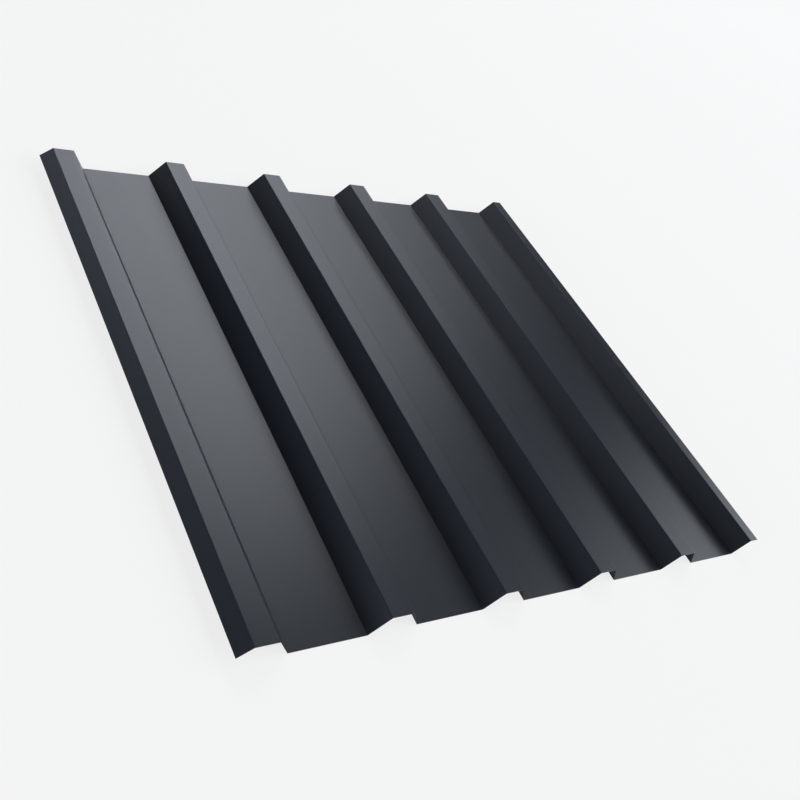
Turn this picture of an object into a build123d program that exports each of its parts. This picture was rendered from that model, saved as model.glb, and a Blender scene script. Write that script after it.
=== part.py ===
"""Trapezoidal roofing sheet, roll-formed in one piece from coated steel strip.

Millimetres, +Z up. The sheet lies on its pans with the weather face up.
X runs across the ribs from the overlap edge to the underlap edge and Y runs
along the ribs. The origin is the middle of the plan outline at the underside
of the pans. Widths and runs are measured on the weather face between the
sharp fold lines, before the bends are rounded.
"""

import os

from build123d import *

# Strip
strip_thickness = 0.63
sheet_length = 990.0
bend_inner_radius = 1.0

# Repeating section
rib_count = 6
rib_pitch = 207.0
rib_depth = 35.0
crown_width = 36.0
flank_run = 24.0

# Overlap edge: a flange hangs from the first crown and stops above the pans
overlap_flange_run = 19.5
overlap_flange_drop = 18.0

# Underlap edge: the last rib is cut off within its crown
underlap_crown_width = 21.0

# Heights of the weather face and places of the folds on each rib
pan_height = strip_thickness
crown_height = pan_height + rib_depth
crown_half_width = crown_width / 2
foot_half_width = crown_half_width + flank_run
last_rib = rib_count - 1

# Long edges of the sheet, seen from the middle of the first rib
overlap_edge = -crown_half_width - overlap_flange_run
underlap_edge = last_rib * rib_pitch - crown_half_width + underlap_crown_width
first_rib_x = -(overlap_edge + underlap_edge) / 2

# A bend that stands proud is rounder on the weather face than one that sinks in,
# so both have the same radius on the inside of the fold
crown_bend_radius = bend_inner_radius + strip_thickness
foot_bend_radius = bend_inner_radius

# Fold lines of the weather face in order across the sheet, with their bends
fold_points = [(first_rib_x + overlap_edge, crown_height - overlap_flange_drop)]
fold_radii = []
for rib in range(rib_count):
    rib_x = first_rib_x + rib * rib_pitch
    if rib > 0:
        fold_points.append((rib_x - foot_half_width, pan_height))
        fold_radii.append(foot_bend_radius)
    fold_points.append((rib_x - crown_half_width, crown_height))
    fold_radii.append(crown_bend_radius)
    if rib < last_rib:
        fold_points.append((rib_x + crown_half_width, crown_height))
        fold_radii.append(crown_bend_radius)
        fold_points.append((rib_x + foot_half_width, pan_height))
        fold_radii.append(foot_bend_radius)
fold_points.append((first_rib_x + underlap_edge, crown_height))

# The strip's section is the weather line and its parallel on the underside,
# carried straight along the ribs between the two sheared ends
with BuildPart() as trapezoidal_sheet:
    with BuildSketch(Plane.XZ) as section:
        with BuildLine() as weather_line:
            FilletPolyline(*fold_points, radius=fold_radii)
            offset(amount=strip_thickness, side=Side.RIGHT)
        make_face()
    extrude(amount=sheet_length / 2, both=True)
trapezoidal_sheet.part.label = "trapezoidal_sheet"

os.makedirs("parts", exist_ok=True)
export_step(trapezoidal_sheet.part, "parts/trapezoidal_sheet.step")
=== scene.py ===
"""Looks of a trapezoidal roofing sheet: its rolled skin, its coats, a pale floor, soft light and a camera.

Everything is in metres in the frame of the sheet: +Z up, X across the ribs from the overlap edge to the
underlap edge, Y along the ribs, with the pans lying on the floor at zero height.
"""

import logging
import math
from dataclasses import dataclass
from enum import IntEnum

import bpy
import numpy as np
from mathutils import Matrix, Vector


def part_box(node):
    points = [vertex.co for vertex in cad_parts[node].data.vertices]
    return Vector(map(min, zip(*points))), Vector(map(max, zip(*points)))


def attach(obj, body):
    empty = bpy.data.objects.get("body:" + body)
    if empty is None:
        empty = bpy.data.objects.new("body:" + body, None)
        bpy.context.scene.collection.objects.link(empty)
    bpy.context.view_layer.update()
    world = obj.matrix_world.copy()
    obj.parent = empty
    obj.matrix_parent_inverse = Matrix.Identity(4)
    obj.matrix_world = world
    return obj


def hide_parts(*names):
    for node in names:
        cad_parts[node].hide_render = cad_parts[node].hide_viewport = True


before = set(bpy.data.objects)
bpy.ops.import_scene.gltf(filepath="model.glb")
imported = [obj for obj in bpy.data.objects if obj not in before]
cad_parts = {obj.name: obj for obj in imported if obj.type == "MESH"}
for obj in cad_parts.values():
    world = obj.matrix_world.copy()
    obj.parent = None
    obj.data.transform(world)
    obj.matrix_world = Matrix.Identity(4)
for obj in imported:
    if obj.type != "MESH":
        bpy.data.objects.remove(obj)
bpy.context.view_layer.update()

SHEET_NODE = "trapezoidal_sheet"
SHEET_BODY = "root"
STRIP_MAP = "strip"
FOLD_NEARNESS = "fold_nearness"

Triple = tuple[float, float, float]
Colour = Triple

# Colours of the light, as shares of red, green and blue with green as one
STUDIO_LIGHT: Colour = (0.953, 1.0, 1.078)
COOL_LIGHT: Colour = (0.92, 1.0, 1.14)
PALE_GROUND: Colour = (0.985, 1.0, 1.015)

log = logging.getLogger("roofing_sheet")


class Zone(IntEnum):
    """The surfaces of the strip, in the order of the sheet's material slots."""

    WEATHER = 0
    BACKING = 1
    CUT = 2


class ShaderGraph:
    """A node tree that starts empty, with short calls to add and join its nodes."""

    def __init__(self, tree: bpy.types.NodeTree) -> None:
        """Empty the given tree and keep it."""
        tree.nodes.clear()
        self.tree = tree

    def add(self, kind: str, inputs: dict[str, object] | None = None, **settings: object) -> bpy.types.Node:
        """Add one node.

        Args:
            kind: Blender's name for the type of node.
            inputs: constants or output sockets, by the name of the input that takes them.
            settings: properties of the node itself.

        Returns:
            The new node.
        """
        node = self.tree.nodes.new(kind)
        for name, value in settings.items():
            setattr(node, name, value)
        for name, value in (inputs or {}).items():
            if isinstance(value, bpy.types.NodeSocket):
                self.tree.links.new(value, node.inputs[name])
            else:
                node.inputs[name].default_value = value
        return node

    def noise(self, place: bpy.types.NodeSocket, scale: float, detail: float) -> bpy.types.NodeSocket:
        """Add a noise texture.

        Args:
            place: the coordinates that it reads.
            scale: how many lumps there are in one unit of those coordinates.
            detail: how many finer octaves are added.

        Returns:
            Its value, from 0 to 1 about 0.5.
        """
        inputs = {"Vector": place, "Scale": scale, "Detail": detail}
        return self.add("ShaderNodeTexNoise", inputs).outputs["Fac"]

    def stretched(self, place: bpy.types.NodeSocket, scale: Triple) -> bpy.types.NodeSocket:
        """Scale coordinates by one factor for each axis and return them."""
        return self.add("ShaderNodeMapping", {"Vector": place, "Scale": scale}).outputs["Vector"]

    def ranged(self, value: bpy.types.NodeSocket, low: float, high: float) -> bpy.types.NodeSocket:
        """Map a value from 0 to 1 onto low to high and return it."""
        inputs = {"Value": value, "To Min": low, "To Max": high}
        return self.add("ShaderNodeMapRange", inputs).outputs["Result"]

    def reckoned(self, operation: str, first: object, second: object) -> bpy.types.NodeSocket:
        """Add a sum of two values.

        Args:
            operation: Blender's name for the sum.
            first: a number or an output socket.
            second: a number or an output socket.

        Returns:
            The result.
        """
        node = self.add("ShaderNodeMath", operation=operation)
        for socket, value in zip(node.inputs, (first, second)):
            if isinstance(value, bpy.types.NodeSocket):
                self.tree.links.new(value, socket)
            else:
                socket.default_value = value
        return node.outputs["Value"]

    def between(self, share: bpy.types.NodeSocket, low: Colour, high: Colour) -> bpy.types.NodeSocket:
        """Blend two colours.

        Args:
            share: 0 for the first colour, 1 for the second.
            low: the first colour.
            high: the second colour.

        Returns:
            The blended colour.
        """
        ramp = self.add("ShaderNodeValToRGB", {"Fac": share})
        for element, colour in zip(ramp.color_ramp.elements, (low, high)):
            element.color = (*colour, 1.0)
        return ramp.outputs["Color"]


def shaded(colour: Colour, factor: float) -> Colour:
    """Return a colour made lighter or darker by a factor."""
    red, green, blue = colour
    return red * factor, green * factor, blue * factor


@dataclass(frozen=True)
class CoilCoat:
    """A paint coat baked onto the strip before rolling: fine orange peel, drawn a little along the rolls."""

    name: str
    colour: Colour
    roughness: float
    colour_drift: float = 0.07
    roughness_drift: float = 0.03
    refraction: float = 1.5
    clouds_per_metre: float = 11.0
    cloud_detail: float = 4.0
    streaks_across: float = 240.0
    streaks_along: float = 1.4
    streak_detail: float = 3.0
    peel_per_metre: float = 700.0
    peel_detail: float = 2.0
    peel_height: float = 4e-6
    fold_polish: float = 0.02

    def material(self) -> bpy.types.Material:
        """Make the coat.

        Returns:
            A material with clouded colour, streaked roughness, folds a little smoother and orange peel.
        """
        material = bpy.data.materials.new(self.name)
        material.use_nodes = True
        graph = ShaderGraph(material.node_tree)
        strip = graph.add("ShaderNodeUVMap", uv_map=STRIP_MAP).outputs["UV"]
        folds = graph.add("ShaderNodeAttribute", attribute_name=FOLD_NEARNESS).outputs["Fac"]
        clouds = graph.noise(strip, self.clouds_per_metre, self.cloud_detail)
        drawn = graph.stretched(strip, (self.streaks_across, self.streaks_along, 1.0))
        streaks = graph.noise(drawn, 1.0, self.streak_detail)
        peel = graph.noise(strip, self.peel_per_metre, self.peel_detail)
        tone = graph.reckoned("MULTIPLY", graph.reckoned("ADD", clouds, streaks), 0.5)
        low, high = (shaded(self.colour, 1.0 + sign * self.colour_drift) for sign in (-1.0, 1.0))
        smooth, dull = self.roughness - self.roughness_drift, self.roughness + self.roughness_drift
        gloss = graph.ranged(streaks, smooth, dull)
        polish = graph.reckoned("MULTIPLY", folds, self.fold_polish)
        bump = graph.add("ShaderNodeBump", {"Strength": 1.0, "Distance": self.peel_height, "Height": peel})
        shader = graph.add("ShaderNodeBsdfPrincipled", {
            "Base Color": graph.between(tone, low, high),
            "Roughness": graph.reckoned("SUBTRACT", gloss, polish),
            "IOR": self.refraction,
            "Normal": bump.outputs["Normal"],
        })
        graph.add("ShaderNodeOutputMaterial", {"Surface": shader.outputs["BSDF"]})
        return material


@dataclass(frozen=True)
class CutSteel:
    """The bare edge that the shear leaves: metal coloured nearly black, with fine marks down its thickness.
    """

    name: str
    colour: Colour
    roughness: float
    colour_drift: float = 0.3
    roughness_drift: float = 0.1
    marks_along: float = 2600.0
    marks_down: float = 300.0
    mark_detail: float = 2.0
    mark_height: float = 8e-6

    def material(self) -> bpy.types.Material:
        """Make the cut edge.

        Returns:
            A material with shear marks in its colour, roughness and bump.
        """
        material = bpy.data.materials.new(self.name)
        material.use_nodes = True
        graph = ShaderGraph(material.node_tree)
        place = graph.add("ShaderNodeTexCoord").outputs["Object"]
        drawn = graph.stretched(place, (self.marks_along, self.marks_along, self.marks_down))
        marks = graph.noise(drawn, 1.0, self.mark_detail)
        low, high = (shaded(self.colour, 1.0 + sign * self.colour_drift) for sign in (-1.0, 1.0))
        smooth, dull = self.roughness - self.roughness_drift, self.roughness + self.roughness_drift
        gloss = graph.ranged(marks, smooth, dull)
        bump = graph.add("ShaderNodeBump", {"Strength": 1.0, "Distance": self.mark_height, "Height": marks})
        shader = graph.add("ShaderNodeBsdfPrincipled", {
            "Base Color": graph.between(marks, low, high),
            "Metallic": 1.0,
            "Roughness": gloss,
            "Normal": bump.outputs["Normal"],
        })
        graph.add("ShaderNodeOutputMaterial", {"Surface": shader.outputs["BSDF"]})
        return material


@dataclass(frozen=True)
class BendLine:
    """The weather face's line across the sheet, as arrays with one entry for each point."""

    points: np.ndarray
    headings: np.ndarray
    travel: np.ndarray
    fold_nearness: np.ndarray

    @property
    def normals(self) -> np.ndarray:
        """Unit normals towards the weather, a quarter turn left of the headings."""
        return np.column_stack((-np.sin(self.headings), np.cos(self.headings)))

    @property
    def tangents(self) -> np.ndarray:
        """Unit vectors along the headings."""
        return np.column_stack((np.cos(self.headings), np.sin(self.headings)))


@dataclass(frozen=True)
class StripSkin:
    """The strip's two faces as arrays by side, place across the sheet, station along it and axis."""

    points: np.ndarray
    normals: np.ndarray

    @property
    def grid(self) -> tuple[int, ...]:
        """Numbers of sides, of places across the sheet and of stations."""
        return self.points.shape[:-1]

    def carried(self, values: np.ndarray) -> np.ndarray:
        """Return a value for each vertex from one for each place across the sheet."""
        return np.broadcast_to(values[:, None], self.grid).astype(np.float32).ravel()


def upright(section: np.ndarray, along: np.ndarray) -> np.ndarray:
    """Return vectors of x, y and z from those of x and z in the section and their parts along the ribs."""
    return np.stack((section[..., 0], np.broadcast_to(along, section.shape[:-1]), section[..., 1]), axis=-1)


def quads(*corners: np.ndarray) -> np.ndarray:
    """Return faces as rows of four vertex numbers from four arrays of corners."""
    return np.stack(corners, axis=-1).reshape(-1, len(corners))


@dataclass
class RolledSheet:
    """One strip of coated steel in six ribs, with a flange on one long edge and half a crown on the other."""

    low: Vector
    high: Vector
    thickness: float = 0.00063
    bend_inner_radius: float = 0.001
    rib_count: int = 6
    rib_pitch: float = 0.207
    crown_width: float = 0.036
    flank_run: float = 0.024
    flange_run: float = 0.0195
    flange_drop: float = 0.018
    shear_reach: float = 0.0006
    shear_drop: float = 0.00012
    polish_reach: float = 0.003
    bend_cells: int = 10
    flat_cells: int = 10
    shear_cells: int = 3
    length_cells: int = 24
    weather_coat: CoilCoat = CoilCoat("weather_coat", colour=(0.0158, 0.0200, 0.0280), roughness=0.340)
    # The underside's coat: anthracite like the weather face, made darker still as painted shade for the
    # shadow under the sheet.
    backing_coat_and_shade: CoilCoat = CoilCoat(
        "backing_coat_and_shade", colour=(0.0105, 0.0136, 0.0190), roughness=0.85, refraction=1.3,
    )
    # The cut edges are coloured nearly black, far darker than bare steel.
    cut_steel: CutSteel = CutSteel("cut_steel", colour=(0.030, 0.032, 0.035), roughness=0.55)

    def fold_corners(self) -> np.ndarray:
        """Work out the sharp fold lines on the weather face.

        Each rib has a foot, two crown corners and a foot, a pitch apart from the next rib's. The first rib's
        left foot is left out for the flange's free edge, and the last rib ends within its crown.

        Returns:
            The corners across the sheet as rows of x and z, both free edges included.
        """
        crown_half = self.crown_width / 2
        foot_half = crown_half + self.flank_run
        first_rib = self.low.x + self.flange_run + crown_half
        ribs = first_rib + self.rib_pitch * np.arange(self.rib_count)
        across = ribs[:, None] + np.array([-foot_half, -crown_half, crown_half, foot_half])
        heights = np.array([self.thickness, self.high.z, self.high.z, self.thickness])
        folds = np.stack((across, np.broadcast_to(heights, across.shape)), axis=-1).reshape(-1, 2)[1:-2]
        flange_edge = (self.low.x, self.high.z - self.flange_drop)
        crown_edge = (self.high.x, self.high.z)
        return np.vstack((flange_edge, folds, crown_edge))

    def bend_line(self) -> BendLine:
        """Round each fold with an arc and fill the flats between the arcs.

        An arc starts its radius times the tangent of half the turn before its corner, about a centre one
        radius to the side that it turns to, and its heading goes evenly from one flat's to the next. Inside
        every fold the radius is the same, so the weather face adds the thickness where it turns down. Points
        on a flat lie at half of one minus the cosine of even angles, close together beside the folds.

        Returns:
            The line with its headings, its developed distances and how near each point is to a crown fold.
        """
        corners = self.fold_corners()
        steps = np.diff(corners, axis=0)
        headings = np.arctan2(steps[:, 1], steps[:, 0])
        along = steps / np.linalg.norm(steps, axis=1, keepdims=True)
        turns = np.diff(headings)
        sides = np.sign(turns)
        radii = self.bend_inner_radius + np.where(turns < 0, self.thickness, 0.0)
        cuts = (radii * np.tan(np.abs(turns) / 2))[:, None]
        starts = corners[1:-1] - along[:-1] * cuts
        ends = corners[1:-1] + along[1:] * cuts

        reach = (sides * radii)[:, None]
        centres = starts + reach * np.column_stack((-along[:-1, 1], along[:-1, 0]))
        bend_headings = headings[:-1, None] + turns[:, None] * np.linspace(0, 1, self.bend_cells + 1)
        spokes = np.stack((-np.sin(bend_headings), np.cos(bend_headings)), axis=-1)
        bends = centres[:, None] - reach[:, None] * spokes

        shares = (1 - np.cos(np.pi * np.arange(1, self.flat_cells) / self.flat_cells)) / 2
        flat_from = np.vstack((corners[:1], ends))[:, None]
        flat_to = np.vstack((starts, corners[-1:]))[:, None]
        flats = flat_from + (flat_to - flat_from) * shares[:, None]
        flat_headings = np.broadcast_to(headings[:, None], flats.shape[:2])

        body = np.concatenate((flats[:-1], bends), axis=1).reshape(-1, 2)
        body_headings = np.concatenate((flat_headings[:-1], bend_headings), axis=1).ravel()
        rims = self.shear_reach * np.arange(self.shear_cells + 1)[:, None] / self.shear_cells
        points = np.vstack((
            corners[0] + along[0] * rims, body, flats[-1], corners[-1] - along[-1] * rims[::-1],
        ))
        rim_headings = np.ones(self.shear_cells + 1)
        line_headings = np.concatenate((
            headings[0] * rim_headings, body_headings, flat_headings[-1], headings[-1] * rim_headings,
        ))
        travel = np.concatenate(([0.0], np.cumsum(np.linalg.norm(np.diff(points, axis=0), axis=1))))
        crown_folds = corners[1:-1][turns < 0]
        gaps = np.linalg.norm(points[:, None] - crown_folds[None], axis=-1).min(axis=1)
        return BendLine(points, line_headings, travel, np.exp(-gaps / self.polish_reach))

    def stations(self) -> np.ndarray:
        """Space out places along the ribs, close together in the sheared rims and even between them.

        Returns:
            The places in order, both sheared ends included.
        """
        rims = self.shear_reach * np.arange(self.shear_cells) / self.shear_cells
        first, last = self.low.y + self.shear_reach, self.high.y - self.shear_reach
        middle = np.linspace(first, last, self.length_cells + 1)
        return np.concatenate((self.low.y + rims, middle, self.high.y - rims[::-1]))

    def skin(self, line: BendLine, stations: np.ndarray) -> StripSkin:
        """Carry the bend line along the ribs.

        The weather face is the line less its normal times the shear's drop, and the underside is the line
        less its normal times the thickness. The drop is greatest at a cut rim and falls with the square of
        one minus the distance from the rim over the shear's reach. Normals lean outwards by the drop's slope.

        Args:
            line: the weather face's line across the sheet.
            stations: the places along the ribs.

        Returns:
            The weather face and the underside.
        """
        rim_across = np.minimum(line.travel, line.travel[-1] - line.travel)[:, None]
        rim_along = np.minimum(stations - self.low.y, self.high.y - stations)[None]
        nearness = np.clip(1 - np.minimum(rim_across, rim_along) / self.shear_reach, 0, 1)
        drop = self.shear_drop * nearness**2
        slope = 2 * self.shear_drop / self.shear_reach * nearness
        is_across = rim_across < rim_along
        lean_across = np.where(is_across, slope, 0) * np.sign(line.travel - line.travel[-1] / 2)[:, None]
        lean_along = np.where(is_across, 0, slope) * np.sign(stations)

        places, normals, tangents = line.points[:, None], line.normals[:, None], line.tangents[:, None]
        weather = places - normals * drop[..., None]
        under = np.broadcast_to(places - normals * self.thickness, weather.shape)
        leaning = normals + tangents * lean_across[..., None]
        straight = np.broadcast_to(-normals, weather.shape)
        points = upright(np.stack((weather, under)), stations)
        lean_sides = np.stack((lean_along, np.zeros_like(lean_along)))
        outward = upright(np.stack((leaning, straight)), lean_sides)
        return StripSkin(points, outward / np.linalg.norm(outward, axis=-1, keepdims=True))

    def build(self) -> bpy.types.Object:
        """Close the strip's two faces with its four sheared edges and make one mesh of them.

        A vertex is numbered by its side, its place across the sheet and its station, in that order. Each
        surface joins the four corners of every cell in the order that turns its faces outwards.

        Returns:
            The sheet, with its strip map, its fold attribute and one material for each zone.
        """
        line = self.bend_line()
        skin = self.skin(line, self.stations())
        top, under = np.arange(np.prod(skin.grid)).reshape(skin.grid)
        weather = quads(top[:-1, :-1], top[1:, :-1], top[1:, 1:], top[:-1, 1:])
        backing = quads(under[:-1, :-1], under[:-1, 1:], under[1:, 1:], under[1:, :-1])
        front = quads(top[:-1, 0], under[:-1, 0], under[1:, 0], top[1:, 0])
        back = quads(top[1:, -1], under[1:, -1], under[:-1, -1], top[:-1, -1])
        overlap = quads(top[0, :-1], top[0, 1:], under[0, 1:], under[0, :-1])
        underlap = quads(top[-1, :-1], under[-1, :-1], under[-1, 1:], top[-1, 1:])
        broad, cut = np.vstack((weather, backing)), np.vstack((front, back, overlap, underlap))
        faces = np.vstack((broad, cut))
        zones = np.repeat(list(Zone), (len(weather), len(backing), len(cut)))

        (flange_x, flange_z), (crown_x, crown_z) = line.tangents[[0, -1]]
        cut_normals = np.array([(0, -1, 0), (0, 1, 0), (-flange_x, 0, -flange_z), (crown_x, 0, crown_z)])
        cut_corners = [edge.size for edge in (front, back, overlap, underlap)]
        corner_normals = np.vstack((
            skin.normals.reshape(-1, 3)[broad.ravel()], np.repeat(cut_normals, cut_corners, axis=0),
        ))

        vertices = skin.points.reshape(-1, 3)
        mesh = bpy.data.meshes.new("rolled_sheet")
        mesh.from_pydata(vertices.tolist(), [], faces.tolist())
        mesh.polygons.foreach_set("material_index", zones.astype(np.int32))
        mesh.polygons.foreach_set("use_smooth", np.ones(len(faces), dtype=bool))
        developed = np.column_stack((skin.carried(line.travel), vertices[:, 1].astype(np.float32)))
        mesh.uv_layers.new(name=STRIP_MAP).uv.foreach_set("vector", developed[faces.ravel()].ravel())
        folds = mesh.attributes.new(FOLD_NEARNESS, "FLOAT", "POINT")
        folds.data.foreach_set("value", skin.carried(line.fold_nearness))
        mesh.normals_split_custom_set(corner_normals.tolist())
        sheet = bpy.data.objects.new(mesh.name, mesh)
        bpy.context.scene.collection.objects.link(sheet)
        return self.dress(sheet)

    def dress(self, sheet: bpy.types.Object) -> bpy.types.Object:
        """Give the sheet its coats and its cut edges and put it in the node's place.

        Args:
            sheet: the bare sheet, its faces numbered by zone.

        Returns:
            The same sheet.
        """
        for finish in (self.weather_coat, self.backing_coat_and_shade, self.cut_steel):
            sheet.data.materials.append(finish.material())
        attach(sheet, SHEET_BODY)
        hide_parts(SHEET_NODE)
        return sheet


@dataclass
class Floor:
    """A wide pale floor that keeps the sheet's shadow."""

    half_width: float = 40.0
    drop: float = 0.0001
    colour: Colour = (0.86, 0.85, 0.83)
    glow_share: float = 0.8

    def build(self) -> bpy.types.Object:
        """Lay a square just under the sheet.

        Returns:
            The floor.
        """
        signs = np.array([(-1, -1), (1, -1), (1, 1), (-1, 1)])
        corners = np.column_stack((signs * self.half_width, np.full(len(signs), -self.drop)))
        mesh = bpy.data.meshes.new("floor")
        mesh.from_pydata(corners.tolist(), [], [(0, 1, 2, 3)])
        mesh.materials.append(self.material())
        floor = bpy.data.objects.new(mesh.name, mesh)
        bpy.context.scene.collection.objects.link(floor)
        return floor

    def material(self) -> bpy.types.Material:
        """Make the floor's paint.

        Returns:
            Matt paint, which looks paler to the eye and in reflections than the light on it makes it.
        """
        material = bpy.data.materials.new("floor_paint")
        material.use_nodes = True
        graph = ShaderGraph(material.node_tree)
        paint = graph.add("ShaderNodeBsdfDiffuse", {"Color": (*self.colour, 1.0)})
        glow = graph.add("ShaderNodeEmission", {"Color": (1.0, 1.0, 1.0, 1.0), "Strength": 1.0})
        path = graph.add("ShaderNodeLightPath")
        seen = graph.reckoned("ADD", path.outputs["Is Camera Ray"], path.outputs["Is Glossy Ray"])
        seen = graph.reckoned("ADD", seen, path.outputs["Is Transmission Ray"])
        share = graph.reckoned("MULTIPLY", seen, self.glow_share)
        blend = graph.add("ShaderNodeMixShader", {"Fac": share})
        graph.tree.links.new(paint.outputs["BSDF"], blend.inputs[1])
        graph.tree.links.new(glow.outputs["Emission"], blend.inputs[2])
        graph.add("ShaderNodeOutputMaterial", {"Surface": blend.outputs["Shader"]})
        return material


@dataclass(frozen=True)
class Softbox:
    """A rectangular lamp with an even face, turned towards the middle of the sheet.

    Its bearing runs from +X towards +Y and its elevation up from the floor, both in degrees.
    """

    name: str
    bearing: float
    elevation: float
    width: float
    height: float
    radiance: float
    tilt: float = 0.0
    distance: float = 9.0
    colour: Colour = STUDIO_LIGHT

    def build(self) -> bpy.types.Object:
        """Hang the lamp.

        Returns:
            The lamp, unseen by the camera, with the power that gives its face the stated radiance.
        """
        data = bpy.data.lights.new(self.name, "AREA")
        data.shape = "RECTANGLE"
        data.size, data.size_y = self.width, self.height
        data.color = self.colour
        data.energy = math.pi * self.width * self.height * self.radiance
        lamp = bpy.data.objects.new(self.name, data)
        bearing, elevation = math.radians(self.bearing), math.radians(self.elevation)
        level = math.cos(elevation)
        outward = Vector((level * math.cos(bearing), level * math.sin(bearing), math.sin(elevation)))
        facing = outward.to_track_quat("Z", "Y").to_matrix().to_4x4()
        turn = Matrix.Rotation(math.radians(self.tilt), 4, "Z")
        lamp.matrix_world = Matrix.Translation(outward * self.distance) @ facing @ turn
        lamp.visible_camera = False
        bpy.context.scene.collection.objects.link(lamp)
        return lamp


@dataclass(frozen=True)
class Flag:
    """A curved screen of black cloth behind the lamps that keeps the pale surroundings out of reflections.

    Its bearings run from +X towards +Y, in degrees.
    """

    name: str
    bearing_from: float
    bearing_to: float
    height: float
    distance: float = 12.0
    cells: int = 40
    colour: Colour = (0.010, 0.010, 0.010)

    def build(self) -> bpy.types.Object:
        """Stand the screen on the floor.

        Its foot and its top are two arcs of one radius about the middle of the sheet.

        Returns:
            The screen, unseen by the camera.
        """
        bearings = np.radians(np.linspace(self.bearing_from, self.bearing_to, self.cells + 1))
        arc = self.distance * np.column_stack((np.cos(bearings), np.sin(bearings)))
        foot = np.column_stack((arc, np.zeros(len(arc))))
        top = np.column_stack((arc, np.full(len(arc), self.height)))
        number = np.arange(2 * len(arc)).reshape(2, -1)
        faces = quads(number[0, 1:], number[0, :-1], number[1, :-1], number[1, 1:])
        mesh = bpy.data.meshes.new(self.name)
        mesh.from_pydata(np.vstack((foot, top)).tolist(), [], faces.tolist())
        mesh.materials.append(self.material())
        flag = bpy.data.objects.new(mesh.name, mesh)
        flag.visible_camera = False
        bpy.context.scene.collection.objects.link(flag)
        return flag

    def material(self) -> bpy.types.Material:
        """Make the cloth.

        Returns:
            A matt black material.
        """
        material = bpy.data.materials.new("black_cloth")
        material.use_nodes = True
        graph = ShaderGraph(material.node_tree)
        cloth = graph.add("ShaderNodeBsdfDiffuse", {"Color": (*self.colour, 1.0)})
        graph.add("ShaderNodeOutputMaterial", {"Surface": cloth.outputs["BSDF"]})
        return material


@dataclass
class Studio:
    """The light: softboxes, black flags, a faint all-round fill and a pale band round the horizon."""

    fill: float = 0.04
    horizon: float = 0.9
    band_low: float = 18.0
    band_high: float = 24.0
    tint: Colour = PALE_GROUND
    softboxes: tuple[Softbox, ...] = (
        Softbox(
            "back_softbox", bearing=59.1, elevation=32.8, width=5.04, height=3.67, tilt=-47.2,
            radiance=2.24,
        ),
        Softbox(
            "side_softbox", bearing=-2.5, elevation=31.1, width=9.16, height=11.6, tilt=50.8,
            radiance=3.35, distance=18.0,
        ),
        Softbox(
            "front_softbox", bearing=-35.9, elevation=37.8, width=5.39, height=4.22, tilt=18.4,
            radiance=3.43,
        ),
        Softbox(
            "high_strip", bearing=60.6, elevation=41.2, width=6.08, height=0.56, tilt=-39.9,
            radiance=8.87,
        ),
        Softbox(
            "far_strip", bearing=134.0, elevation=30.3, width=6.19, height=0.9, tilt=36.5,
            radiance=2.29, colour=COOL_LIGHT,
        ),
        Softbox(
            "left_strip", bearing=180.9, elevation=6.7, width=0.9, height=3.58, tilt=-44.3,
            radiance=26.63, colour=COOL_LIGHT,
        ),
    )
    flags: tuple[Flag, ...] = (
        Flag("left_flag", bearing_from=90.0, bearing_to=205.0, height=5.6),
        Flag("right_flag", bearing_from=-2.0, bearing_to=90.0, height=11.7, distance=25.0),
    )

    def build(self) -> None:
        """Set up the lamps, the flags and the surroundings."""
        for softbox in self.softboxes:
            log.info("lamp %s", softbox.build().name)
        for flag in self.flags:
            log.info("stage %s", flag.build().name)
        bpy.context.scene.world = self.surroundings()

    def surroundings(self) -> bpy.types.World:
        """Colour the surroundings by their height above the horizon.

        Their strength falls evenly with the sine of the elevation, from the band's to the fill's.

        Returns:
            The world.
        """
        world = bpy.data.worlds.new("studio")
        world.use_nodes = True
        graph = ShaderGraph(world.node_tree)
        place = graph.add("ShaderNodeTexCoord").outputs["Generated"]
        height = graph.add("ShaderNodeSeparateXYZ", {"Vector": place}).outputs["Z"]
        strength = graph.add("ShaderNodeMapRange", {
            "Value": height,
            "From Min": math.sin(math.radians(self.band_low)),
            "From Max": math.sin(math.radians(self.band_high)),
            "To Min": self.horizon,
            "To Max": self.fill,
        }).outputs["Result"]
        background = graph.add("ShaderNodeBackground", {"Color": (*self.tint, 1.0), "Strength": strength})
        graph.add("ShaderNodeOutputWorld", {"Surface": background.outputs["Background"]})
        return world


@dataclass
class Viewpoint:
    """The camera: where it stands, the point of the floor that it looks at, and its tilt about that line."""

    place: Triple = (-1.07179, -0.94951, 1.00193)
    target: Triple = (-0.05746, -0.08338, 0.0)
    tilt: float = 32.622
    field_of_view: float = 45.0

    def build(self) -> bpy.types.Object:
        """Set up the camera.

        Returns:
            The camera, made the scene's own.
        """
        data = bpy.data.cameras.new("viewpoint")
        data.lens_unit = "FOV"
        data.angle = math.radians(self.field_of_view)
        camera = bpy.data.objects.new("viewpoint", data)
        aim = (Vector(self.target) - Vector(self.place)).to_track_quat("-Z", "Y").to_matrix().to_4x4()
        tilt = Matrix.Rotation(math.radians(self.tilt), 4, "Z")
        camera.matrix_world = Matrix.Translation(self.place) @ aim @ tilt
        bpy.context.scene.collection.objects.link(camera)
        bpy.context.scene.camera = camera
        return camera


def main() -> None:
    """Build the sheet, the floor, the light and the camera in turn."""
    logging.basicConfig(level=logging.INFO, format="%(name)s: %(message)s")
    bpy.context.scene.view_settings.view_transform = "Standard"
    sheet = RolledSheet(*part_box(SHEET_NODE)).build()
    log.info("piece %s, %d faces", sheet.name, len(sheet.data.polygons))
    log.info("stage %s", Floor().build().name)
    Studio().build()
    log.info("camera %s", Viewpoint().build().name)


if __name__ == "__main__":
    main()
